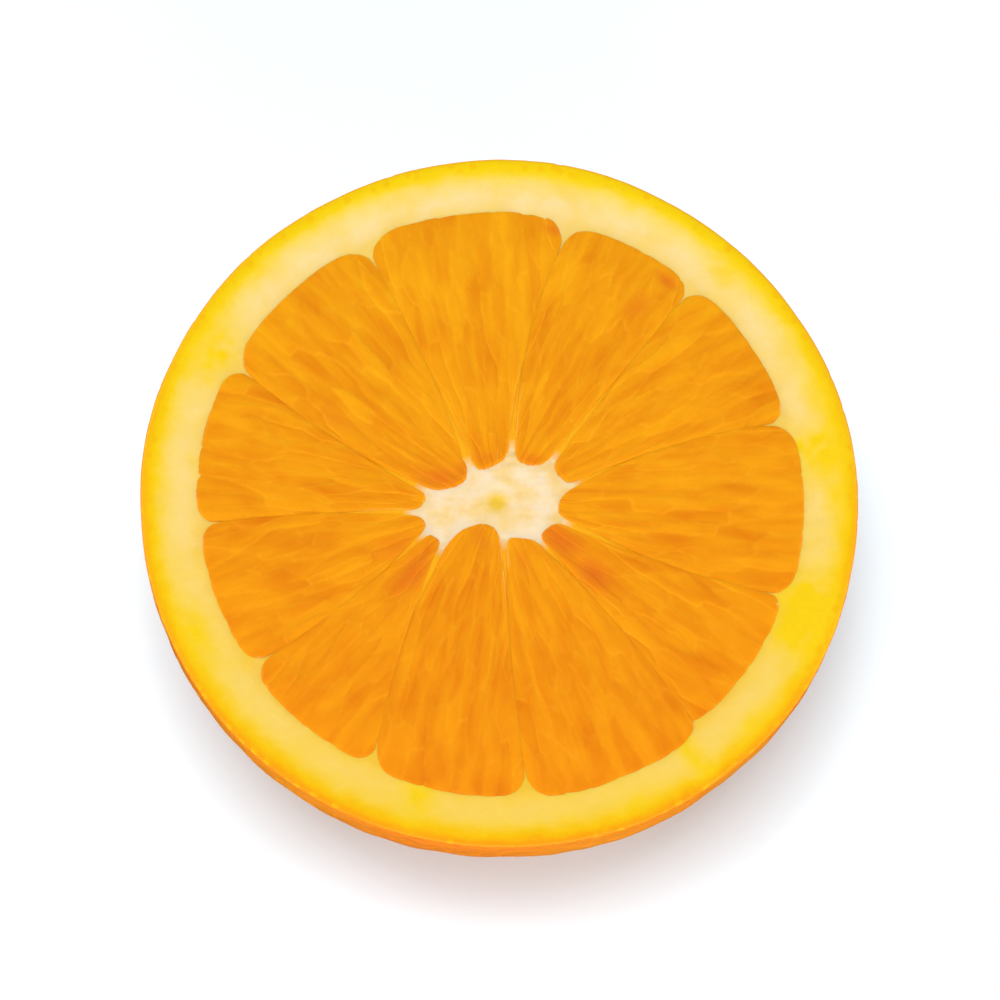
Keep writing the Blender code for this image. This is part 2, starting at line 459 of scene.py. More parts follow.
golden = np.zeros(len(points))
for angle, radius, along_rim, across_peel, strength in GOLDEN_PATCHES:
    turned = (angles - angle + math.pi) % (2 * math.pi) - math.pi
    reach = (turned * radius / along_rim) ** 2 + ((radii - radius) / across_peel) ** 2
    golden = np.maximum(golden, strength * np.exp(-reach))
golden *= PATCH_LEVEL + PATCH_SPREAD * noise_at(points, PATCH_GRAIN, 6)
set_attribute(cut_peel, "golden", np.clip(golden, 0, 1))

# Cut pith is matt and spongy and lets some light through. Under the rim the zest is golden yellow,
# and over a millimetre or two it fades to cream. Painted light and shade lie over it: on the far
# side of the cut it is painted paler, and on the near side deeper and darker. Paler and yellower
# spots a few millimetres across mottle it. Both tables give a depth from the skin and the colour
# there.
FAR_SIDE_LIT_LAYERS = (
    (0.0000, "#E0A60C"),
    (0.0004, "#E1BC08"),
    (0.0010, "#E4C306"),
    (0.0016, "#E6C51E"),
    (0.0022, "#E6C84E"),
    (0.0028, "#E6CB6E"),
    (0.0035, "#E6CD81"),
    (0.0044, "#E6CE90"),
    (0.0054, "#E6CB88"),
    (0.0064, "#E5C573"),
)
NEAR_SIDE_SHADED_LAYERS = (
    (0.0000, "#EC820C"),
    (0.0005, "#E69B09"),
    (0.0010, "#E4B005"),
    (0.0016, "#E5B913"),
    (0.0022, "#E6BF32"),
    (0.0028, "#E6C34B"),
    (0.0035, "#E6C455"),
    (0.0044, "#E6C458"),
    (0.0054, "#E6C14D"),
    (0.0064, "#E3B735"),
)

pith, shader = new_material("spongy_pith")
place = add_node(pith, "ShaderNodeTexCoord").outputs["Object"]
depth_node = add_node(pith, "ShaderNodeAttribute", attribute_name="peel_depth")
near_shade_node = add_node(pith, "ShaderNodeAttribute", attribute_name="near_shade")
wander = add_node(pith, "ShaderNodeTexNoise", {"Vector": place, "Scale": 1 / 0.0022, "Detail": 3.0})
wander_share = add_node(
    pith,
    "ShaderNodeMapRange",
    {"Value": wander.outputs["Fac"], "To Min": -0.13, "To Max": 0.13},
)
off_rim = add_node(
    pith,
    "ShaderNodeMapRange",
    {"Value": depth_node.outputs["Fac"], "From Min": 0.03, "From Max": 0.2},
)
edge_depth = add_node(
    pith,
    "ShaderNodeMath",
    {0: off_rim.outputs["Result"], 1: wander_share.outputs["Result"], 2: depth_node.outputs["Fac"]},
    operation="MULTIPLY_ADD",
)
far_lit_ramp = add_node(pith, "ShaderNodeValToRGB", {"Fac": edge_depth.outputs[0]})
near_shaded_ramp = add_node(pith, "ShaderNodeValToRGB", {"Fac": edge_depth.outputs[0]})
for ramp, table in ((far_lit_ramp.color_ramp, FAR_SIDE_LIT_LAYERS), (near_shaded_ramp.color_ramp, NEAR_SIDE_SHADED_LAYERS)):
    for element, (layer_depth, colour) in zip(ramp.elements, (table[0], table[-1])):
        element.position = layer_depth / PEEL_THICKNESS
        element.color = linear(colour)
    for layer_depth, colour in table[1:-1]:
        ramp.elements.new(layer_depth / PEEL_THICKNESS).color = linear(colour)
# Painted light and shade: the ramps mix from the far side of the cut, painted paler, to the near
# side, painted deeper and darker.
layers = add_node(
    pith,
    "ShaderNodeMix",
    {0: near_shade_node.outputs["Fac"], 6: far_lit_ramp.outputs["Color"], 7: near_shaded_ramp.outputs["Color"]},
    data_type="RGBA",
)
mottle = add_node(pith, "ShaderNodeTexNoise", {"Vector": place, "Scale": 1 / 0.0035, "Detail": 4.0})
mottle_share = add_node(
    pith,
    "ShaderNodeMapRange",
    {"Value": mottle.outputs["Fac"], "From Min": 0.45, "From Max": 0.7, "To Max": 0.45},
)
in_pith = add_node(
    pith,
    "ShaderNodeMapRange",
    {"Value": depth_node.outputs["Fac"], "From Min": 0.25, "From Max": 0.45},
)
pith_mottle = add_node(
    pith,
    "ShaderNodeMath",
    {0: mottle_share.outputs["Result"], 1: in_pith.outputs["Result"]},
    operation="MULTIPLY",
)
mottled = add_node(
    pith,
    "ShaderNodeMix",
    {0: pith_mottle.outputs[0], 6: layers.outputs[2], 7: linear("#E5C035")},
    data_type="RGBA",
)
golden_node = add_node(pith, "ShaderNodeAttribute", attribute_name="golden")
stained = add_node(
    pith,
    "ShaderNodeMix",
    {0: golden_node.outputs["Fac"], 6: mottled.outputs[2], 7: linear("#E6C211")},
    data_type="RGBA",
)
cut_glands = add_node(
    pith, "ShaderNodeTexVoronoi", {"Vector": place, "Scale": 1 / 0.0013}, feature="F1"
)
gland_dots = add_node(
    pith,
    "ShaderNodeMapRange",
    {"Value": cut_glands.outputs["Distance"], "From Min": 0.42, "From Max": 0.25, "To Max": 0.6},
)
in_band = add_node(
    pith,
    "ShaderNodeMapRange",
    {"Value": depth_node.outputs["Fac"], "From Min": 0.24, "From Max": 0.14},
)
gland_share = add_node(
    pith,
    "ShaderNodeMath",
    {0: gland_dots.outputs["Result"], 1: in_band.outputs["Result"]},
    operation="MULTIPLY",
)
pith_colour = add_node(
    pith,
    "ShaderNodeMix",
    {0: gland_share.outputs[0], 6: stained.outputs[2], 7: linear("#E3AC06")},
    data_type="RGBA",
)
pores = add_node(pith, "ShaderNodeTexNoise", {"Vector": place, "Scale": 1 / 0.0004, "Detail": 3.0})
bump = add_node(
    pith,
    "ShaderNodeBump",
    {"Height": pores.outputs["Fac"], "Strength": 0.25, "Distance": 0.0001},
)
shader.inputs["Roughness"].default_value = 0.62
shader.inputs["IOR"].default_value = 1.4
shader.inputs["Specular IOR Level"].default_value = 0.2
shader.inputs["Subsurface Weight"].default_value = 0.35
shader.inputs["Subsurface Radius"].default_value = (1.0, 0.7, 0.35)
shader.inputs["Subsurface Scale"].default_value = 0.0008
link_shader(pith, shader, Base_Color=pith_colour.outputs[2], Normal=bump.outputs["Normal"])
dress(cut_peel, pith)

# The core: the white, star-shaped pith in the middle of the fruit, where all segment walls meet. It
# is soft and fibrous, and at its centre is a darker yellow spot where the fruit's veins run up.
CORE_DISC = 0.0112
CORE_CELLS = 170
CORE_THICKNESS = 0.004
CORE_SAG = 0.00022
CORE_ARM_MARGIN = 0.0006
CORE_ARM_FADE = 0.0010
CORE_ARM_DROP = 0.0015
STAR_WAIST = 0.85
FIBRE_SIZE = np.array([0.0016, 0.00055, 1.0])
FIBRE_HEIGHT = 0.00006
VEIN_DIP = 0.00030
TAIL_STRENGTH = 0.42
NEARLY_ZERO = 1e-12

# The height, size and seed of the lumps of the core, and of its fine grain.
CORE_LUMPS = (0.00009, 0.0022, 7)
CORE_GRAIN = (0.00003, 0.0006, 9)

# The middle of the vein's spot and of its faint tail: x and y, and half width and half depth.
VEIN_SPOT = (-0.0003, -0.0002, 0.0013, 0.0012)
VEIN_TAIL = (-0.0016, -0.0003, 0.0013, 0.0009)

# The points of the star, anticlockwise from the one on the right.
CORE_POINTS = (
    (0.0075, 0.0015),
    (0.0054, 0.0042),
    (0.0013, 0.0052),
    (-0.0030, 0.0033),
    (-0.0077, 0.0010),
    (-0.0089, -0.0014),
    (-0.0078, -0.0035),
    (-0.0060, -0.0049),
    (0.0004, -0.0039),
    (0.0039, -0.0042),
    (0.0064, -0.0021),
)


def add_sheet(name, columns, rows, size):
    """A new piece that starts as a flat grid at the height of the cut."""
    bpy.ops.object.select_all(action="DESELECT")
    bpy.ops.mesh.primitive_grid_add(
        x_subdivisions=columns, y_subdivisions=rows, size=size, location=(0, 0, HEIGHT)
    )
    sheet = active_piece(name)
    apply_place(sheet)
    return sheet


def close_below(piece, thickness):
    """Draws the outline of a sheet straight down and closes it there."""
    bpy.context.view_layer.objects.active = piece
    bpy.ops.object.mode_set(mode="EDIT")
    bpy.ops.mesh.select_all(action="SELECT")
    bpy.ops.mesh.region_to_loop()
    bpy.ops.mesh.extrude_region_move(TRANSFORM_OT_translate={"value": (0, 0, -thickness)})
    bpy.ops.mesh.edge_face_add()
    bpy.ops.mesh.select_all(action="SELECT")
    bpy.ops.mesh.normals_make_consistent(inside=False)
    bpy.ops.object.mode_set(mode="OBJECT")


def spot_at(points, x, y, half_width, half_depth):
    """A soft oval spot: 1 at its middle, falling to 0 around it."""
    across = (points[:, 0] - x) / half_width
    along = (points[:, 1] - y) / half_depth
    return np.exp(-(across**2 + along**2))


def distance_outside_star(places):
    """How far each place on the cut lies outside the star that the core's points make."""
    tips = np.array(CORE_POINTS)
    between = (tips + np.roll(tips, -1, axis=0)) / 2 * STAR_WAIST
    star = np.stack([tips, between], axis=1).reshape(-1, 2)
    nearest = np.full(len(places), np.inf)
    crossings = np.zeros(len(places), dtype=int)
    for start, end in zip(star, np.roll(star, -1, axis=0)):
        edge = end - start
        share = np.clip((places - start) @ edge / (edge @ edge), 0, 1)
        gap = np.linalg.norm(places - start - share[:, None] * edge, axis=1)
        nearest = np.minimum(nearest, gap)
        spans = (start[1] > places[:, 1]) != (end[1] > places[:, 1])
        at_x = start[0] + (places[:, 1] - start[1]) / (edge[1] or NEARLY_ZERO) * edge[0]
        crossings += spans & (places[:, 0] < at_x)
    return np.where(crossings % 2 == 1, 0.0, nearest)


core = add_sheet("core", CORE_CELLS, CORE_CELLS, 2 * CORE_DISC)
for vertex in core.data.vertices:
    vertex.select = math.hypot(vertex.co.x, vertex.co.y) > CORE_DISC
for part in (*core.data.edges, *core.data.polygons):
    part.select = False
bpy.ops.object.mode_set(mode="EDIT")
bpy.ops.mesh.select_mode(type="VERT")
bpy.ops.mesh.delete(type="VERT")
bpy.ops.object.mode_set(mode="OBJECT")
close_below(core, CORE_THICKNESS)

points = get_points(core)
on_top = points[:, 2] > HEIGHT - CORE_THICKNESS / 2
flat = points * ON_PLANE
spot = spot_at(points, *VEIN_SPOT)
tail = spot_at(points, *VEIN_TAIL)
lumps = CORE_LUMPS[0] * noise_at(flat, *CORE_LUMPS[1:])
grain = CORE_GRAIN[0] * noise_at(flat, *CORE_GRAIN[1:])
fibres = FIBRE_HEIGHT * noise_at(flat / FIBRE_SIZE, 1.0, 8)
star_distance = distance_outside_star(points[:, :2])
outside = np.clip((star_distance - CORE_ARM_MARGIN) / CORE_ARM_FADE, 0, 1)
rise = lumps + fibres + grain - CORE_SAG - VEIN_DIP * spot - CORE_ARM_DROP * outside
points[:, 2] += on_top * rise
set_points(core, points + FRUIT_AXIS)
set_attribute(core, "vein", np.maximum(spot, TAIL_STRENGTH * tail))

# Core pith is whiter and drier than the pith of the peel, clouded with cream and matt all over.
core_pith, shader = new_material("white_core_pith")
place = add_node(core_pith, "ShaderNodeTexCoord").outputs["Object"]
clouds = add_node(
    core_pith, "ShaderNodeTexNoise", {"Vector": place, "Scale": 1 / 0.0024, "Detail": 3.0}
)
cloud_share = add_node(
    core_pith,
    "ShaderNodeMapRange",
    {"Value": clouds.outputs["Fac"], "From Min": 0.4, "From Max": 0.68},
)
clouded = add_node(
    core_pith,
    "ShaderNodeMix",
    {0: cloud_share.outputs["Result"], 6: linear("#E7D2AE"), 7: linear("#E6C47C")},
    data_type="RGBA",
)
vein = add_node(core_pith, "ShaderNodeAttribute", attribute_name="vein")
vein_share = add_node(
    core_pith,
    "ShaderNodeMapRange",
    {"Value": vein.outputs["Fac"], "From Min": 0.08, "From Max": 0.8},
)
core_colour = add_node(
    core_pith,
    "ShaderNodeMix",
    {0: vein_share.outputs["Result"], 6: clouded.outputs[2], 7: linear("#E4BC3F")},
    data_type="RGBA",
)
strands = add_node(
    core_pith, "ShaderNodeTexNoise", {"Vector": place, "Scale": 1 / 0.0005, "Detail": 3.0}
)
bump = add_node(
    core_pith,
    "ShaderNodeBump",
    {"Height": strands.outputs["Fac"], "Strength": 0.3, "Distance": 0.0001},
)
shader.inputs["Roughness"].default_value = 0.7
shader.inputs["IOR"].default_value = 1.4
shader.inputs["Subsurface Weight"].default_value = 0.3
shader.inputs["Subsurface Radius"].default_value = (1.0, 0.7, 0.35)
shader.inputs["Subsurface Scale"].default_value = 0.0008
link_shader(core_pith, shader, Base_Color=core_colour.outputs[2], Normal=bump.outputs["Normal"])
dress(core, core_pith)

# The segment walls: thin skins that part one segment from the next, from a point of the core to a
# notch in the pith. They grow out of the core as pale lines, and further out the pulp closes over
# them.
WALL_AT_CORE = 0.00050
WALL_CLOSED = -0.00016
WALL_OVERLAP = 0.00012
WALL_FADE = 0.07
WALL_FROM = 0.01
WALL_REACH = 0.88
WALL_THICKNESS = 0.004
WALL_TOP = -0.00004
WALL_CROWN = 0.00007
WALL_STEPS = 150
WALL_COLUMNS = 6
AHEAD = 0.01
BOW_SCALE = 4  # makes a wall's bow its full sideways reach at half its length
CLOSED_SINK = 0.00030
ROOT_SINK = 0.00020
ROOT_SHARE = 0.06
ROOT_FADE = 0.055
FLARE = 0.0003
FLARE_SHARE = 0.12
FLARE_FADE = 0.1
WALL_LUMP_HEIGHT = 0.00002
WALL_LUMP_SIZE = 0.0012
WALL_LUMP_SEED = 20

# Each wall, anticlockwise: angle and radius of its notch, how far it bows left, how much of its
# length shows, of the segment on its left how far it reaches into the core, and its radius, and how
# strongly the segments' corners are rounded beside the notch.
NOTCHES = (
    (math.radians(16), 0.0313, 0.0012, 0.20, 0.0003, 0.0320, 1.0),
    (math.radians(49), 0.0312, 0.0001, 0.42, 0.0011, 0.0318, 1.0),
    (math.radians(76), 0.0305, 0.0013, 0.31, 0.0007, 0.0323, 1.0),
    (math.radians(117), 0.0312, -0.0006, 0.30, 0.0011, 0.0321, 1.0),
    (math.radians(152), 0.0314, 0.0008, 0.22, 0.0004, 0.0323, 1.0),
    (math.radians(185), 0.0315, -0.0005, 0.30, 0.0005, 0.0320, 1.0),
    (math.radians(215), 0.0311, 0.0007, 0.20, 0.0003, 0.0322, 1.0),
    (math.radians(245), 0.0313, -0.0009, 0.28, 0.0020, 0.0324, 1.0),
    (math.radians(275), 0.0317, -0.0004, 0.18, 0.0001, 0.0329, 1.0),
    (math.radians(310), 0.0320, 0.0006, 0.15, 0.0004, 0.0319, 0.45),
    (math.radians(341), 0.0319, -0.0009, 0.30, 0.0009, 0.0324, 1.0),
)
WALL_FACTS = ("x", "y", "angle", "radius", "bow", "shown", "reach", "segment_radius", "roundness")
WALLS = [dict(zip(WALL_FACTS, (*point, *notch))) for point, notch in zip(CORE_POINTS, NOTCHES)]


def wall_line(wall, share):
    """Points along a wall's middle: share 0 is its point of the core and 1 its notch."""
    start = np.array([wall["x"], wall["y"]])
    end = wall["radius"] * np.array([math.cos(wall["angle"]), math.sin(wall["angle"])])
    along = (end - start) / np.linalg.norm(end - start)
    left = np.array([-along[1], along[0]])
    share = np.asarray(share)[..., None]
    return start + (end - start) * share + left * wall["bow"] * BOW_SCALE * share * (1 - share)


def wall_showing(wall, share):
    """How openly a wall shows: 1 at the core, falling to 0 where the pulp has closed over it."""
    return 1 / (1 + np.exp((np.asarray(share) - wall["shown"]) / WALL_FADE))


def wall_width(wall, share):
    """The gap that the pulp leaves for a wall. Below 0 the segments overlap over it."""
    return WALL_CLOSED + (WALL_AT_CORE - WALL_CLOSED) * wall_showing(wall, share)


# A wall is the core's cream where it leaves the core, then golden, then the orange of the pulp
# behind it, because the skin is thin enough to see through.
membrane, shader = new_material("segment_membrane")
showing_node = add_node(membrane, "ShaderNodeAttribute", attribute_name="showing")
rooted_node = add_node(membrane, "ShaderNodeAttribute", attribute_name="rooted")
place = add_node(membrane, "ShaderNodeTexCoord").outputs["Object"]
threads = add_node(
    membrane, "ShaderNodeTexNoise", {"Vector": place, "Scale": 1 / 0.0008, "Detail": 2.0}
)
thread_share = add_node(
    membrane,
    "ShaderNodeMapRange",
    {"Value": threads.outputs["Fac"], "To Min": -0.25, "To Max": 0.25},
)
uneven_showing = add_node(
    membrane,
    "ShaderNodeMath",
    {0: showing_node.outputs["Fac"], 1: thread_share.outputs["Result"]},
    operation="ADD",
    use_clamp=True,
)
golden_wall = add_node(
    membrane,
    "ShaderNodeMix",
    {0: uneven_showing.outputs[0], 6: linear("#E89C0E"), 7: linear("#ECA513")},
    data_type="RGBA",
)
membrane_colour = add_node(
    membrane,
    "ShaderNodeMix",
    {0: rooted_node.outputs["Fac"], 6: golden_wall.outputs[2], 7: linear("#E6CD9F")},
    data_type="RGBA",
)
shader.inputs["Roughness"].default_value = 0.45
shader.inputs["IOR"].default_value = 1.38
shader.inputs["Specular IOR Level"].default_value = 0.3
shader.inputs["Subsurface Weight"].default_value = 0.4
shader.inputs["Subsurface Radius"].default_value = (1.0, 0.5, 0.12)
shader.inputs["Subsurface Scale"].default_value = 0.00015
link_shader(membrane, shader, Base_Color=membrane_colour.outputs[2])

for number, wall in enumerate(WALLS):
    membrane_wall = add_sheet(f"segment_wall_{number + 1:02d}", WALL_STEPS, WALL_COLUMNS, 2)
    points = get_points(membrane_wall)
    share = WALL_FROM + (points[:, 0] + 1) / 2 * WALL_REACH
    side = points[:, 1].copy()
    line = wall_line(wall, share)
    ahead = wall_line(wall, share + AHEAD)
    along = (ahead - line) / np.linalg.norm(ahead - line, axis=1)[:, None]
    left = np.stack([-along[:, 1], along[:, 0]], axis=1)
    showing = wall_showing(wall, share)
    rooted = np.clip((ROOT_SHARE - share) / ROOT_FADE, 0, 1)
    half_width = wall_width(wall, share) / 2 + WALL_OVERLAP
    half_width += FLARE * np.clip((FLARE_SHARE - share) / FLARE_FADE, 0, 1)
    points[:, :2] = line + left * (side * half_width)[:, None]
    sunk = WALL_CROWN * side**2 + ROOT_SINK * rooted + CLOSED_SINK * (1 - showing)
    points[:, 2] = HEIGHT + WALL_TOP - sunk
    points[:, 2] += WALL_LUMP_HEIGHT * noise_at(points, WALL_LUMP_SIZE, WALL_LUMP_SEED + number)
    set_points(membrane_wall, points + FRUIT_AXIS)
    set_attribute(membrane_wall, "showing", showing)
    set_attribute(membrane_wall, "rooted", rooted)
    close_below(membrane_wall, WALL_THICKNESS)
    dress(membrane_wall, membrane)

# The segments: wet orange pulp, each a bundle of long juice sacs that lie side by side and point at
# the core, cut across by the knife. The sacs swell a little past the cut, each to its own height,
# with their thin skins showing as paler lines between them.
INNER_ROUNDING = 0.05
OUTER_ROUNDING = 0.08
OUTER_SIDE_ROUNDING = 0.035
CORNER_POWER = 8
SHOULDER_POWER = 12
CROWN_POWER = 4
REACH_POWER = 6
MOST_INSET = 0.3
ACROSS_CROWDING = 0.11
ALONG_CROWDING = 0.06
SEGMENT_COLUMNS = 92
SEGMENT_ROWS = 190
SEGMENT_RISE = 0.00022
SEGMENT_CROWN = 0.00010
WALL_GLOW = 0.0007
SAC_WIDTH = 0.00125
SAC_LENGTH = 0.0055
SAC_COLUMNS = range(-10, 11)
SAC_ROWS = range(6)
SAC_JITTER = 0.38
SAC_SEED = 100
SAC_STAGGER = 0.5
SAC_WAVER = 0.00035
SAC_LENGTH_WAVER = 0.0014
WAVER_WIDTH = 0.0015
WAVER_STRETCH = np.array([1, 0.35, 1])
WAVER_LENGTH = 0.0030
WAVER_LENGTH_SEED = 50
WAVER_LAYER = 0.01
SAC_BULGE = 0.00009
SAC_STEP = 0.00006
SAC_SKIN = 0.16
SKIN_CURVE = 1.5
FAN_SHARE = 0.55
FAN_RADIUS = 0.022
SIDE_FROM = 0.88
END_FROM = 0.965
SIDE_DROP = 0.00003
GLOW_DROP = 0.00008
OUTER_DROP = 0.00025
INNER_DROP = 0.00040
SHOULDER_DROP = 0.00015
SHOULDER_FROM = 0.75
SHOULDER_FADE = 0.22
SHOULDER_CURVE = 1.5
DEEP_DROP = 0.00012
FINE_HEIGHT = 0.00002
FINE_SIZE = 0.0007
FINE_SEED = 200
GRAIN_STEP = 3.7

# Places where a sac has come away and the deeper, redder pulp shows: x and y in metres, the way it
# runs, its half length and half width, and how deep its colour is.
DEEP_SPOTS = (
    (0.0064, -0.0045, math.radians(-35), 0.0028, 0.0015, 0.9),
    (0.0098, -0.0080, math.radians(-45), 0.0022, 0.0014, 0.9),
    (-0.0062, 0.0024, math.radians(0), 0.0026, 0.0012, 0.75),
    (-0.0040, 0.0034, math.radians(60), 0.0013, 0.0008, 0.6),
    (-0.0092, -0.0080, math.radians(50), 0.0030, 0.0014, 0.8),
    (-0.0110, -0.0052, math.radians(20), 0.0024, 0.0011, 0.5),
    (0.0179, 0.0244, math.radians(-40), 0.0013, 0.0006, 0.8),
    (0.0061, 0.0300, math.radians(-20), 0.0014, 0.0006, 0.6),
    (0.0145, 0.0213, math.radians(30), 0.0018, 0.0009, 0.35),
    (-0.0016, 0.0047, math.radians(0), 0.0012, 0.0007, 0.45),
    (0.0034, 0.0046, math.radians(0), 0.0013, 0.0007, 0.5),
    (-0.0020, -0.0042, math.radians(-50), 0.0022, 0.0010, 0.35),
    (0.0024, -0.0064, math.radians(-80), 0.0016, 0.0009, 0.4),
    (-0.0172, 0.0088, math.radians(150), 0.0020, 0.0010, 0.35),
)


def segment_shares(grid_points, right_wall, left_wall):
    """The grid's columns and rows from -1 to 1, crowded to the edges, and both again with rounded
    corners."""
    across = grid_points[:, 0] + ACROSS_CROWDING * np.sin(math.pi * grid_points[:, 0])
    along = grid_points[:, 1] + ALONG_CROWDING * np.sin(math.pi * grid_points[:, 1])
    over = (across + 1) / 2
    roundness = right_wall["roundness"] + (left_wall["roundness"] - right_wall["roundness"]) * over
    side_rounding = np.where(along < 0, INNER_ROUNDING, OUTER_SIDE_ROUNDING * roundness)
    end_rounding = np.where(along < 0, INNER_ROUNDING, OUTER_ROUNDING * roundness)
    rounded_across = across * (1 - side_rounding * np.abs(along) ** CORNER_POWER)
    rounded_along = along * (1 - end_rounding * np.abs(across) ** CORNER_POWER)
    return across, along, rounded_across, rounded_along


def segment_places(right_wall, left_wall, across, along):
    """Where points of a segment lie on the cut face, the way it points, and how strongly the walls
    shine through at each point."""
    share = (along + 1) / 2
    over = (across + 1) / 2
    right = wall_line(right_wall, share)
    left = wall_line(left_wall, share)
    width = np.linalg.norm(left - right, axis=1)
    right_inset = np.minimum(wall_width(right_wall, share) / 2 / width, MOST_INSET)
    left_inset = np.minimum(wall_width(left_wall, share) / 2 / width, MOST_INSET)
    place = right_inset + (1 - right_inset - left_inset) * over
    places = right + (left - right) * place[:, None]
    right_glow = wall_showing(right_wall, share) * np.exp(-((place * width / WALL_GLOW) ** 2))
    left_glow = wall_showing(left_wall, share) * np.exp(-(((1 - place) * width / WALL_GLOW) ** 2))

    right_end = wall_line(right_wall, 1)
    left_end = wall_line(left_wall, 1)
    chord = right_end + (left_end - right_end) * over[:, None]
    chord_radius = np.linalg.norm(chord, axis=1)
    notch_radius = right_wall["radius"] + (left_wall["radius"] - right_wall["radius"]) * over
    fullness = (right_wall["segment_radius"] - notch_radius) * (1 - across**SHOULDER_POWER)
    bulge = (notch_radius + fullness - chord_radius) * share**CROWN_POWER
    reach = right_wall["reach"] * np.sqrt(1 - across**2) * (1 - share) ** REACH_POWER
    places += chord / chord_radius[:, None] * (bulge - reach)[:, None]
    middle = right_end + left_end
    return places, middle / np.linalg.norm(middle), np.maximum(right_glow, left_glow)


def sac_pattern(places, outward, seed):
    """For each point: how far it is from its sac's middle and how much further the next sac is, its
    sac's tint and height, and where it lies in the grain, all counted in sacs."""
    draw = np.random.default_rng(seed)
    lengths = np.linalg.norm(places, axis=1)
    turned = np.arctan2(
        outward[0] * places[:, 1] - outward[1] * places[:, 0],
        outward[0] * places[:, 0] + outward[1] * places[:, 1],
    )
    sideways = turned * (FAN_SHARE * lengths + (1 - FAN_SHARE) * FAN_RADIUS)
    spots = np.column_stack([sideways, lengths, np.full(len(places), seed * WAVER_LAYER)])
    sideways = sideways + SAC_WAVER * noise_at(spots * WAVER_STRETCH, WAVER_WIDTH, seed)
    lengths = lengths + SAC_LENGTH_WAVER * noise_at(spots, WAVER_LENGTH, seed + WAVER_LENGTH_SEED)
    here = np.column_stack([sideways / SAC_WIDTH, lengths / SAC_LENGTH])
    middles = []
    for column in SAC_COLUMNS:
        for row in SAC_ROWS:
            jitter = draw.uniform(-SAC_JITTER, SAC_JITTER, 2)
            middles.append((column + jitter[0], row + jitter[1] + SAC_STAGGER * (column % 2)))
    middles = np.array(middles)
    distances = np.hypot(
        here[:, None, 0] - middles[None, :, 0], here[:, None, 1] - middles[None, :, 1]
    )
    order = np.argpartition(distances, 2, axis=1)[:, :2]
    near = np.take_along_axis(distances, order, axis=1)
    nearest = near.min(axis=1)
    second = near.max(axis=1)
    sac = order[np.arange(len(order)), near.argmin(axis=1)]
    tint = draw.uniform(0, 1, len(middles))[sac]
    height = draw.uniform(-1, 1, len(middles))[sac]
    return nearest, second - nearest, tint, height, here


# Wet pulp is translucent and glossy: light sinks into the sacs and comes back orange. Fine streaks
# run along the sacs towards the core, their skins are a little paler, and beside an open wall the
# light that it passes on makes the pulp golden.
pulp, shader = new_material("wet_pulp")
grain_node = add_node(pulp, "ShaderNodeAttribute", attribute_name="grain")
tint_node = add_node(pulp, "ShaderNodeAttribute", attribute_name="sac_tint")
skin_node = add_node(pulp, "ShaderNodeAttribute", attribute_name="sac_skin")
glow_node = add_node(pulp, "ShaderNodeAttribute", attribute_name="wall_glow")
deep_node = add_node(pulp, "ShaderNodeAttribute", attribute_name="deep")
near_shade_node = add_node(pulp, "ShaderNodeAttribute", attribute_name="near_shade")
place = add_node(pulp, "ShaderNodeTexCoord").outputs["Object"]
streaks = add_node(
    pulp,
    "ShaderNodeTexNoise",
    {"Vector": grain_node.outputs["Vector"], "Scale": 1.0, "Detail": 3.0, "Roughness": 0.5},
)
streak_share = add_node(
    pulp,
    "ShaderNodeMapRange",
    {"Value": streaks.outputs["Fac"], "From Min": 0.3, "From Max": 0.7},
)
tint_share = add_node(
    pulp,
    "ShaderNodeMix",
    {0: 0.35, 2: streak_share.outputs["Result"], 3: tint_node.outputs["Fac"]},
    data_type="FLOAT",
)
sac_colour = add_node(
    pulp,
    "ShaderNodeMix",
    {0: tint_share.outputs[0], 6: linear("#D67F08"), 7: linear("#E8A50F")},
    data_type="RGBA",
)
clouds = add_node(pulp, "ShaderNodeTexNoise", {"Vector": place, "Scale": 1 / 0.007, "Detail": 2.0})
cloud_share = add_node(
    pulp,
    "ShaderNodeMapRange",
    {"Value": clouds.outputs["Fac"], "From Min": 0.42, "From Max": 0.7, "To Max": 0.45},
)
clouded = add_node(
    pulp,
    "ShaderNodeMix",
    {0: cloud_share.outputs["Result"], 6: sac_colour.outputs[2], 7: linear("#E9A60E")},
    data_type="RGBA",
)
skin_share = add_node(
    pulp, "ShaderNodeMath", {0: skin_node.outputs["Fac"], 1: 0.22}, operation="MULTIPLY"
)
skinned = add_node(
    pulp,
    "ShaderNodeMix",
    {0: skin_share.outputs[0], 6: clouded.outputs[2], 7: linear("#EEB020")},
    data_type="RGBA",
)
glow_share = add_node(
    pulp, "ShaderNodeMath", {0: glow_node.outputs["Fac"], 1: 0.65}, operation="MULTIPLY"
)
glowing = add_node(
    pulp,
    "ShaderNodeMix",
    {0: glow_share.outputs[0], 6: skinned.outputs[2], 7: linear("#EBA912")},
    data_type="RGBA",
)
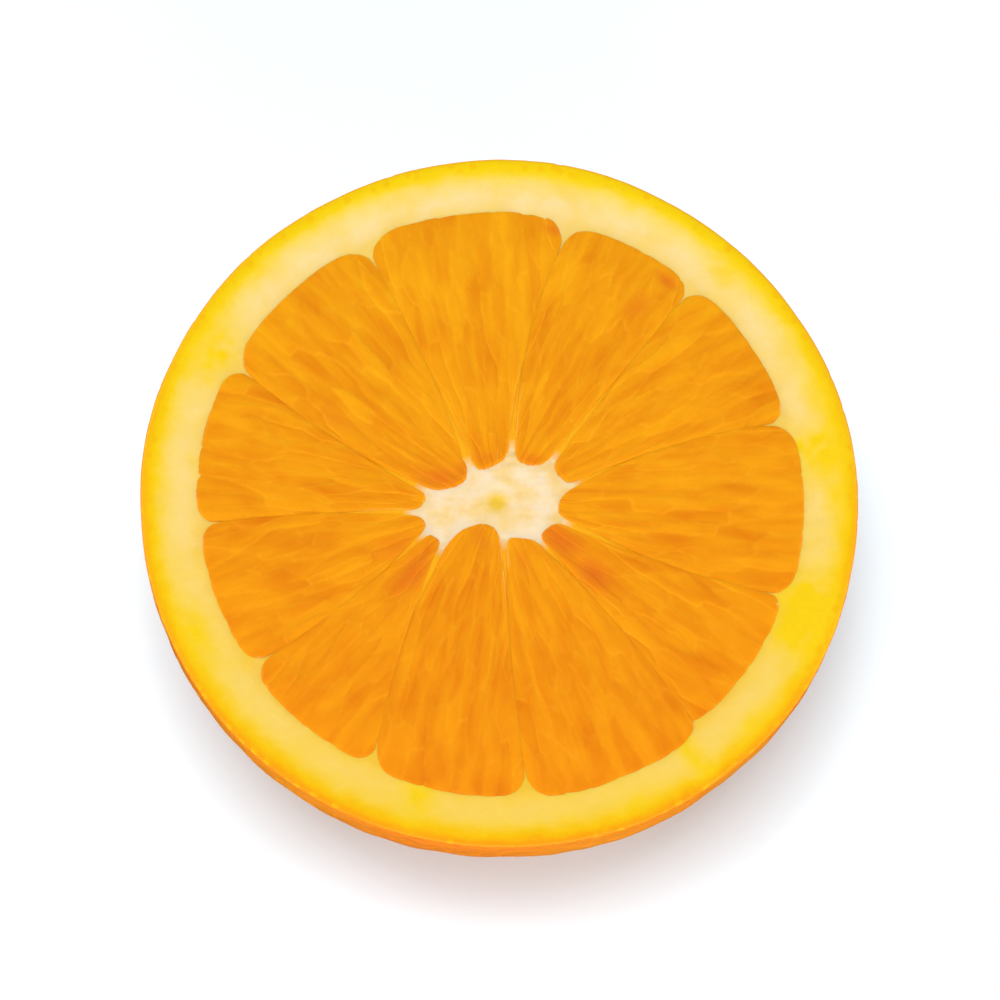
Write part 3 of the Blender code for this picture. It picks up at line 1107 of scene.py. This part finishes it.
# Painted shade: the pulp on the near side of the cut is painted darker and redder than on the far
# side.
near_shaded_pulp = add_node(
    pulp,
    "ShaderNodeMix",
    {0: near_shade_node.outputs["Fac"], 6: glowing.outputs[2], 7: linear("#FFE7FF")},
    data_type="RGBA",
    blend_type="MULTIPLY",
)
pulp_colour = add_node(
    pulp,
    "ShaderNodeMix",
    {0: deep_node.outputs["Fac"], 6: near_shaded_pulp.outputs[2], 7: linear("#D76E16")},
    data_type="RGBA",
)
bump = add_node(
    pulp,
    "ShaderNodeBump",
    {"Height": streaks.outputs["Fac"], "Strength": 0.2, "Distance": 0.0002},
)
shader.inputs["Roughness"].default_value = 0.3
shader.inputs["IOR"].default_value = 1.36
shader.inputs["Specular IOR Level"].default_value = 0.3
shader.inputs["Subsurface Weight"].default_value = 0.45
shader.inputs["Subsurface Radius"].default_value = (1.0, 0.45, 0.08)
shader.inputs["Subsurface Scale"].default_value = 0.00025
shader.inputs["Coat Weight"].default_value = 0.1
shader.inputs["Coat Roughness"].default_value = 0.12
link_shader(pulp, shader, Base_Color=pulp_colour.outputs[2], Normal=bump.outputs["Normal"])

for number, right_wall in enumerate(WALLS):
    left_wall = WALLS[(number + 1) % len(WALLS)]
    segment = add_sheet(f"segment_{number + 1:02d}", SEGMENT_COLUMNS, SEGMENT_ROWS, 2)
    across, along, rounded_across, rounded_along = segment_shares(
        get_points(segment), right_wall, left_wall
    )
    places, outward, glow = segment_places(right_wall, left_wall, rounded_across, rounded_along)
    nearest, gap, tint, height, here = sac_pattern(places, outward, SAC_SEED + number)

    ends = np.abs(along)
    sides = np.abs(across)
    side_fall = np.clip((sides - SIDE_FROM) / (1 - SIDE_FROM), 0, 1) ** 2
    end_fall = np.clip((ends - END_FROM) / (1 - END_FROM), 0, 1) ** 2
    shoulder = np.clip((along - SHOULDER_FROM) / SHOULDER_FADE, 0, 1) ** SHOULDER_CURVE
    skin = np.clip(1 - gap / SAC_SKIN, 0, 1) ** SKIN_CURVE
    dome = 1 - np.clip(nearest, 0, 1) ** 2
    inner = (1 - side_fall) * (1 - end_fall)

    deep = np.zeros(len(places))
    for x, y, angle, half_length, half_width, strength in DEEP_SPOTS:
        from_spot = places - np.array([x, y])
        lengthways = from_spot[:, 0] * math.cos(angle) + from_spot[:, 1] * math.sin(angle)
        widthways = -from_spot[:, 0] * math.sin(angle) + from_spot[:, 1] * math.cos(angle)
        reach = (lengthways / half_length) ** 2 + (widthways / half_width) ** 2
        deep = np.maximum(deep, strength * np.exp(-reach))

    rise = SEGMENT_RISE - PITH_SAG + SEGMENT_CROWN * (1 - sides**2) * (1 - ends**4)
    rise += inner * (SAC_BULGE * dome + SAC_STEP * height)
    rise -= SHOULDER_DROP * shoulder
    rise -= (SIDE_DROP + GLOW_DROP * glow) * side_fall
    rise -= np.where(along > 0, OUTER_DROP, INNER_DROP) * end_fall
    rise -= DEEP_DROP * deep
    points = np.column_stack([places, HEIGHT + rise])
    points[:, 2] += inner * FINE_HEIGHT * noise_at(points, FINE_SIZE, FINE_SEED + number)
    set_points(segment, points + FRUIT_AXIS)
    set_attribute(segment, "sac_tint", tint)
    set_attribute(segment, "sac_skin", skin)
    set_attribute(segment, "wall_glow", glow)
    set_attribute(segment, "deep", deep)
    set_attribute(segment, "near_shade", near_side_shade(points))
    grain = segment.data.attributes.new("grain", "FLOAT_VECTOR", "POINT")
    grain_points = np.column_stack([here, np.full(len(here), number * GRAIN_STEP)])
    grain.data.foreach_set("vector", grain_points.ravel())
    close_below(segment, PULP_DEPTH)
    dress(segment, pulp)

# The floor: a wide sheet of matt white acrylic, faintly lit from below with a cool light that takes
# the orange tint out of the fruit's shadow.
FLOOR_SIZE = 6.0

bpy.ops.object.select_all(action="DESELECT")
bpy.ops.mesh.primitive_plane_add(size=FLOOR_SIZE, location=(0, 0, 0))
floor = active_piece("floor")
acrylic, shader = new_material("matt_white_acrylic")
place = add_node(acrylic, "ShaderNodeTexCoord").outputs["Object"]
haze = add_node(acrylic, "ShaderNodeTexNoise", {"Vector": place, "Scale": 1 / 0.02, "Detail": 2.0})
acrylic_colour = add_node(
    acrylic,
    "ShaderNodeMix",
    {0: haze.outputs["Fac"], 6: linear("#E3F0F7"), 7: linear("#E6F2F9")},
    data_type="RGBA",
)
shader.inputs["Roughness"].default_value = 0.9
shader.inputs["Specular IOR Level"].default_value = 0.1
shader.inputs["Emission Color"].default_value = linear("#004557")
shader.inputs["Emission Strength"].default_value = 1.0
link_shader(acrylic, shader, Base_Color=acrylic_colour.outputs[2])
floor.data.materials.append(acrylic)
floor.visible_glossy = False

# Studio light: a dimly lit room whose walls look plain white to the camera, a large soft light
# overhead, and three soft panels set low around the fruit, which light the rind under the rim and
# glint on its dimples.
world = bpy.data.worlds.new("white_room")
bpy.context.scene.world = world
world.use_nodes = True
room = world.node_tree.nodes["Background"]
room.inputs["Color"].default_value = linear("#FFFFFF")
seen = add_node(world, "ShaderNodeLightPath").outputs["Is Camera Ray"]
brightness = add_node(world, "ShaderNodeMapRange", {"Value": seen, "To Min": 0.36, "To Max": 1.0})
link_shader(world, room, Strength=brightness.outputs["Result"])
world.cycles_visibility.glossy = False


def add_soft_light(name, direction, distance, size, watts, shows_in_gloss):
    """A square area light that faces the middle of the cut."""
    data = bpy.data.lights.new(name, "AREA")
    data.size = size
    data.energy = watts
    light = bpy.data.objects.new(name, data)
    light.location = Vector(direction).normalized() * distance + Vector((0, 0, HEIGHT))
    light.rotation_mode = "QUATERNION"
    light.rotation_quaternion = Vector(direction).to_track_quat("Z", "Y")
    light.visible_camera = False
    light.visible_glossy = shows_in_gloss
    bpy.context.scene.collection.objects.link(light)


add_soft_light("key", (-0.06, -0.05, 1.0), 2.5, 0.83, 47.0, False)
add_soft_light("near_panel", (0.15, -1.0, 0.09), 0.9, 0.36, 7.2, True)
add_soft_light("right_panel", (0.92, 0.30, 0.14), 0.9, 0.16, 2.4, True)
add_soft_light("far_panel", (-0.80, 0.22, 0.12), 0.9, 0.22, 3.4, True)

# The camera looks down on the cut face, 16 degrees from square to it, so that a strip of rind shows
# under the near side of the rim.
LENS = 303.0
TILT = math.radians(16.2)
TILT_TOWARDS = math.radians(-96.3)
OBJECT_SHARE = 0.72
CLIP = (0.05, 20.0)

cam_data = bpy.data.cameras.new("photo_view")
cam_data.lens = LENS
cam_data.clip_start, cam_data.clip_end = CLIP
camera = bpy.data.objects.new("photo_view", cam_data)
bpy.context.scene.collection.objects.link(camera)
bpy.context.scene.camera = camera
lean_axis = Vector((-math.sin(TILT_TOWARDS), math.cos(TILT_TOWARDS), 0.0))
lean = Matrix.Rotation(TILT, 4, lean_axis)
back = lean @ Vector((0, 0, 1))
frame_width = 2 * FRUIT_RADIUS / OBJECT_SHARE
distance = frame_width * LENS / cam_data.sensor_width
look_at = Vector((FRUIT_AXIS[0], FRUIT_AXIS[1], HEIGHT))
camera.matrix_world = Matrix.Translation(look_at + back * distance) @ lean

bpy.context.scene.view_settings.view_transform = "Standard"
bpy.context.scene.view_settings.look = "None"
bpy.context.scene.view_settings.exposure = 0.0
bpy.context.scene.view_settings.gamma = 1.0
